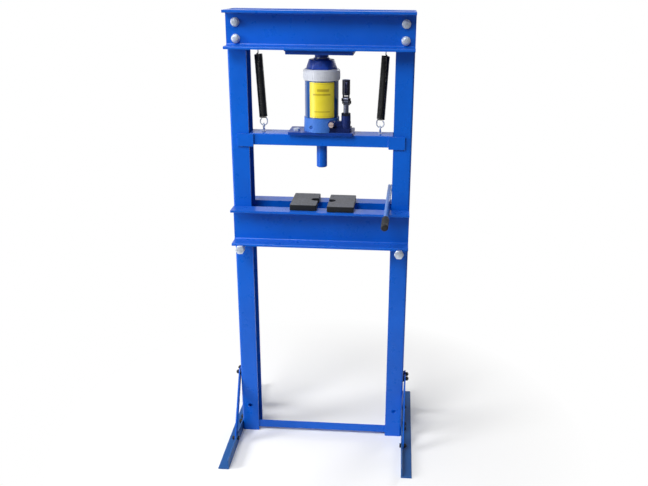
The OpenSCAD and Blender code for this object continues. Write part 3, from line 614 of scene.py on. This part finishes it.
def spring_path(gap, first, last, coil):
    """The middle of the spring's wire, standing upright on the foot loop's middle: the foot loop, a quarter bend
    into the coil, the close coil from first to last, a spiral in to the axis, a straight leg and the top loop."""
    pitch, bend = 3.3 * MM, math.radians(60)
    per_turn, lead_out, leg_height, leg_step = 16, 8, 7 * MM, 3 * MM
    path = [Vector((coil * math.sin(a), 0, coil * math.cos(a)))
            for a in (math.radians(d) for d in range(32, 271, 14))]
    for u in (math.radians(d) for d in range(0, 100, 10)):
        turn = math.pi + bend * (1 - math.cos(u))
        path.append(Vector((coil * math.cos(turn), coil * math.sin(turn), first * math.sin(u))))
    steps = round((last - first) / pitch) * per_turn
    start = math.pi + bend
    for i in range(1, steps + 1):
        turn = start + math.tau * i / per_turn
        path.append(Vector((coil * math.cos(turn), coil * math.sin(turn), first + (last - first) * i / steps)))
    for i in range(1, lead_out + 1):
        turn, t = start + math.tau * i / per_turn, i / lead_out
        reach = coil * (1 - t) ** 1.5
        path.append(Vector((reach * math.cos(turn), reach * math.sin(turn), last + 4.5 * MM * t ** 1.4)))
    path += [Vector((0, 0, last + leg_height + leg_step * i)) for i in range(3)]

    leg, loop_start = path[-1], math.radians(50)
    end = Vector((coil * math.sin(loop_start), 0, gap - coil * math.cos(loop_start)))
    out_of_leg, into_loop = leg + Vector((0, 0, 3.4 * MM)), end - Vector((2.6 * MM, 0, 3.0 * MM))
    for t in (i / 6 for i in range(1, 7)):
        path.append(leg * (1 - t) ** 3 + out_of_leg * 3 * t * (1 - t) ** 2
                    + into_loop * 3 * t * t * (1 - t) + end * t ** 3)
    path += [Vector((coil * math.sin(a), 0, gap - coil * math.cos(a)))
             for a in (math.radians(d) for d in range(62, 331, 14))]
    return path


def return_spring(side, name):
    """Close-wound extension spring: a loop round the eye at the bottom, the coil, a straight leg and the loop on the
    hanger bar."""
    coil, wire = 10.2 * MM, 1.6 * MM
    foot_x, top_x = 165 * MM, 177 * MM
    low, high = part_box(name)
    foot = Vector((side * foot_x, 0, low.z + coil + wire))
    top = Vector((side * top_x, 0, high.z - coil - wire))
    gap = (top - foot).length
    first, last = 12.5 * MM, gap - 27 * MM
    lean = math.atan2(top.x - foot.x, top.z - foot.z)
    place = Matrix.Translation(foot) @ Matrix.Rotation(lean, 4, "Y")
    path = [place @ Vector((side * point.x, point.y, point.z)) for point in spring_path(gap, first, last, coil)]
    wound = round_bar(name + "_wound", wire, 2, [(point, 1.0) for point in path])
    dress(smooth(wound, 50), SPRING_BLACK, ZINC)
    axis = (top - foot) / gap
    for face in wound.data.polygons:
        up = (face.center - foot).dot(axis)
        face.material_index = 0 if first - 2 * MM < up < last + 4 * MM else 1
    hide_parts(name)
    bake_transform(wound)


def plain_finishes():
    """Materials for the CAD nodes whose shape is already right."""
    finishes = {
        "spring_hangers": DEEP_SHADE_BLUE, "handle_bar": TUBE, "handle_grip": RUBBER, "plate_bolts": ZINC, "plate_nuts": ZINC,
        "eye_nuts": ZINC, "base_screws": STEEL, "tank": TANK_BLUE, "tank_nut": WHITE, "cylinder": STEEL,
        "pump_gland": SOCKET_BLACK, "fulcrum_pin": BLACK, "piston_rod": STEEL, "piston_seal": RUBBER,
        # The plunger's darker steel is painted shade.
        "saddle": CAST_DARK, "plunger": PLUNGER_SHADE_STEEL, "lever_pins": BLACK, "release_valve": PINK_ZINC,
    }
    for node, material in finishes.items():
        dress(nodes[node], material)
        smooth(nodes[node], 30)


def jack_castings():
    """The jack's base, with its pump body in a darker navy that is painted shade, the cap, the filler plug and the
    fulcrum link.
    """
    base = rounded("jack_base", "table", "jack_blue", 1.2 * MM, CAST_BLUE, steps=3)
    base.data.materials.append(PUMP_SHADE_NAVY)
    foot_radius, pump_shade_side = 49.5 * MM, 25 * MM
    # Faces of the pump body past the tank's foot take the darker navy: painted shade.
    for face in base.data.polygons:
        middle = face.center
        if middle.x > pump_shade_side and math.hypot(middle.x, middle.y) > foot_radius:
            face.material_index = 1
    rounded("cap_nut", "table", "deep_blue", 1.0 * MM, CAST_DARK, steps=3)
    rounded("filler_plug", "table", "rubber", 0.4 * MM, RUBBER)
    rounded("fulcrum_link", "table", "black_oxide", 0.6 * MM, SOCKET_BLACK)


def handle_socket():
    """The pump lever's socket: black outside, zinc in its bore painted darker and bluer as shade, and its tube crimped
    shut under the bore.
    """
    low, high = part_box("pump_gland")
    axis = (low + high) / 2
    bore, bore_deep = 8.3 * MM, 40 * MM
    sleeve = rounded("handle_socket", "pump_lever", "black_oxide", 1.1 * MM, SOCKET_BLACK, steps=3)
    sleeve.data.materials.append(BORE_ZINC_SHADE)
    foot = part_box("handle_socket")[1].z - bore_deep
    # Faces inside the bore take the darker zinc: painted shade.
    for face in sleeve.data.polygons:
        away = face.center - axis
        inward = face.normal.x * away.x < 1e-6
        if face.center.z > foot and math.hypot(away.x, away.y) < bore and inward:
            face.material_index = 1
    bpy.ops.mesh.primitive_cylinder_add(vertices=32, radius=bore + 0.3 * MM, depth=5 * MM,
                                        location=(axis.x, axis.y, foot + 0.3 * MM))
    crimp = settle(named("socket_crimped_end"))
    pick(crimp, "FACE", lambda face: abs(face.normal.z) > 0.9)
    bpy.ops.mesh.inset(thickness=3.4 * MM, depth=0)
    bpy.ops.mesh.inset(thickness=1.6 * MM, depth=-1.2 * MM)
    bpy.ops.object.mode_set(mode="OBJECT")
    modify(crimp, "BEVEL", width=1.9 * MM, segments=4, limit_method="ANGLE", angle_limit=math.radians(60))
    part(dress(smooth(crimp, 50), SOCKET_BLACK), "pump_lever", "black_oxide")


def tank_label():
    """The film on the tank, turned a little to the right, as it was stuck on."""
    low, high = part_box("tank_label")
    film = label_film("label_film_yellow", (low.z + high.z) / 2, high.z - low.z, -low.y, math.radians(-7))
    label = rounded("tank_label", "table", "label_yellow", 0.05 * MM, film, steps=1)
    label.data.transform(Matrix.Rotation(math.radians(9), 4, "Z"))


def band_ribs():
    """The raised ribs round the silver band that a strap wrench holds."""
    low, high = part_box("tank_nut")
    radius, above, below, count = 0.9 * MM, 6.5 * MM, 9.5 * MM, 60
    tall = high.z - low.z - above - below
    bpy.ops.mesh.primitive_cylinder_add(vertices=8, radius=radius, depth=tall,
                                        location=(high.x - radius / 2, 0, high.z - above - tall / 2))
    rib = settle(named("rib"))
    modify(rib, "BEVEL", width=0.3 * MM, segments=1, limit_method="ANGLE", angle_limit=math.radians(60))
    ribs = copies(rib, [Matrix.Rotation(math.tau * i / count, 4, "Z") for i in range(count)])
    part(dress(smooth(join("band_ribs", *ribs), 50), WHITE), "table", "white_metal")


def rod_wiper():
    """The ring on the cap that wipes the rod: a lipped collar, a little above the casting and painted with it."""
    low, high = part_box("cap_nut")
    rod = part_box("piston_rod")[1].x
    seat, tall, outer, lip, gap = high.z - 0.5 * MM, 4.4 * MM, rod + 4.6 * MM, rod + 1.8 * MM, rod + 0.3 * MM
    bpy.ops.mesh.primitive_cylinder_add(vertices=64, radius=outer, depth=tall, end_fill_type="NOTHING",
                                        location=(0, 0, seat + tall / 2))
    collar = settle(named("rod_wiper"))
    points = collar.data.vertices
    pick(collar, "EDGE", lambda edge: all(points[v].co.z > seat + 4 * MM for v in edge.vertices))
    for old, new, rise in ((outer, lip, -0.5 * MM), (lip, gap, 0.4 * MM), (gap, gap, -3.6 * MM)):
        bpy.ops.mesh.extrude_region_move()
        bpy.ops.transform.resize(value=(new / old, new / old, 1.0), center_override=(0, 0, 0))
        bpy.ops.transform.translate(value=(0, 0, rise))
    bpy.ops.mesh.select_all(action="DESELECT")
    bpy.ops.mesh.select_non_manifold()
    bpy.ops.mesh.bridge_edge_loops()
    bpy.ops.mesh.select_all(action="SELECT")
    bpy.ops.mesh.normals_make_consistent(inside=False)
    bpy.ops.object.mode_set(mode="OBJECT")
    modify(collar, "BEVEL", width=0.5 * MM, segments=2, limit_method="ANGLE", angle_limit=math.radians(40))
    part(dress(smooth(collar, 40), CAST_DARK), "table", "deep_blue")


def pin_clips():
    """Open spring clips in a groove near each end of the pump's pins."""
    for node, body in (("lever_pins", "pump_lever"), ("fulcrum_pin", "table")):
        made = []
        for low, high in solids(node):
            middle, pin = (low + high) / 2, (high.z - low.z) / 2
            wire, groove, steps = 0.5 * MM, 1.1 * MM, 26
            bpy.ops.mesh.primitive_circle_add(vertices=8, radius=wire, location=(pin + 0.35 * MM, 0, 0),
                                              rotation=(math.pi / 2, 0, 0))
            clip = modify(settle(named("clip")), "SCREW", axis="Z", angle=math.radians(310), screw_offset=0,
                          steps=steps, render_steps=steps)
            made += copies(clip, [turned(ACROSS, (x, middle.y, middle.z)) for x in (low.x + groove, high.x - groove)])
        clips = close_ends(join(node + "_clips", *made))
        part(dress(smooth(clips, 60), BLACK), body, "black_oxide")


# ---- run ----

steelwork()
frame_welds()
table_welds()
press_plates()
fasteners()
all_threads()
plain_finishes()
return_spring(-1, "spring_left")
return_spring(1, "spring_right")
jack_castings()
handle_socket()
tank_label()
band_ribs()
rod_wiper()
pin_clips()


# ---- stage ----

def floor():
    """A plain pale floor, white far off, that keeps the object's shadow near it."""
    bpy.ops.mesh.primitive_circle_add(vertices=96, radius=1.3, fill_type="NGON", location=(0, 0, -0.2 * MM))
    ground = named("floor")
    material, tree, principled, place = new_material("pale_floor", Roughness=0.9, Specular_IOR_Level=0.1,
                                                     Base_Color=hex_colour("#f4f4f4"))
    away = add(tree, "VectorMath", {0: place}, "Value", operation="LENGTH")
    far = add(tree, "MapRange", {"Value": away, "From Min": 0.25, "From Max": 0.85})
    camera_ray, glossy_ray = (add(tree, "LightPath", out=ray) for ray in ("Is Camera Ray", "Is Glossy Ray"))
    seen = add(tree, "Math", {0: camera_ray, 1: glossy_ray}, operation="MAXIMUM")
    fade = add(tree, "Math", {0: far, 1: seen}, operation="MULTIPLY")
    white = add(tree, "Emission", {"Color": "#ffffff", "Strength": 1.0})
    mix = add(tree, "MixShader", {0: fade, 1: principled.outputs[0], 2: white})
    tree.links.new(mix, tree.nodes["Material Output"].inputs["Surface"])
    dress(ground, material)


def world():
    """Soft studio light. The camera sees white; mirror-like surfaces see the white backdrop behind and to the left,
    and the dim room in front and to the right."""
    room = bpy.data.worlds.new("studio")
    bpy.context.scene.world = room
    room.use_nodes = True
    tree = room.node_tree
    camera_ray, clear_ray = (add(tree, "LightPath", out=ray) for ray in ("Is Camera Ray", "Is Transmission Ray"))
    seen = add(tree, "Math", {0: camera_ray, 1: clear_ray}, operation="MAXIMUM")
    way = add(tree, "TexCoord", out="Generated")
    backdrop = add(tree, "VectorMath", {0: way, 1: (-0.9, 0.35, 0.25)}, "Value", operation="DOT_PRODUCT")
    backdrop = add(tree, "MapRange", {"Value": backdrop, "From Min": 0.0, "From Max": 0.55, "To Min": 0.3})
    soft = add(tree, "Background", {"Color": "#f6f6f6", "Strength": 0.2})
    mirrored = add(tree, "Background", {"Color": "#ffffff", "Strength": backdrop})
    white = add(tree, "Background", {"Color": "#ffffff", "Strength": 1.0})
    mix = add(tree, "MixShader", {0: add(tree, "LightPath", out="Is Glossy Ray"), 1: soft, 2: mirrored})
    mix = add(tree, "MixShader", {0: seen, 1: mix, 2: white})
    tree.links.new(mix, tree.nodes["World Output"].inputs["Surface"])


def lamp(name, place, target, size, power):
    """A soft square white lamp aimed at a point."""
    data = bpy.data.lights.new(name, "AREA")
    data.size = size
    data.energy = power
    light = bpy.data.objects.new(name, data)
    bpy.context.scene.collection.objects.link(light)
    light.location = place
    light.rotation_euler = (Vector(target) - Vector(place)).to_track_quat("-Z", "Y").to_euler()


def camera():
    """The view from a little above the press in front, a little to the right, looking down."""
    data = bpy.data.cameras.new("camera")
    data.lens = 41.58
    data.sensor_width = 36.0
    data.shift_x = -0.0401
    data.clip_start = 50 * MM
    eye = bpy.data.objects.new("camera", data)
    bpy.context.scene.collection.objects.link(eye)
    yaw, down, roll = math.radians(3.64), math.radians(19.27), math.radians(0.6)
    eye.matrix_world = (Matrix.Translation((0.2165, -2.0960, 1.3732)) @ Matrix.Rotation(yaw, 4, "Z")
                        @ Matrix.Rotation(math.pi / 2 - down, 4, "X") @ Matrix.Rotation(roll, 4, "Z"))
    bpy.context.scene.camera = eye


floor()
world()
camera()
lamp("key", (-2.6, -0.85, 1.8), (0, 0, 0.7), size=1.0, power=62)
lamp("front", (-1.4, -3.0, 3.9), (0, 0, 0.5), size=2.0, power=142)
lamp("low", (-2.0, -1.4, 0.35), (0, 0, 0.4), size=1.0, power=9)
lamp("top", (-0.3, -0.1, 3.1), (0, 0, 0.8), size=1.2, power=12)
lamp("back", (1.7, 2.5, 1.8), (0, 0, 0.7), size=1.4, power=30)
bpy.context.scene.view_settings.view_transform = "Standard"
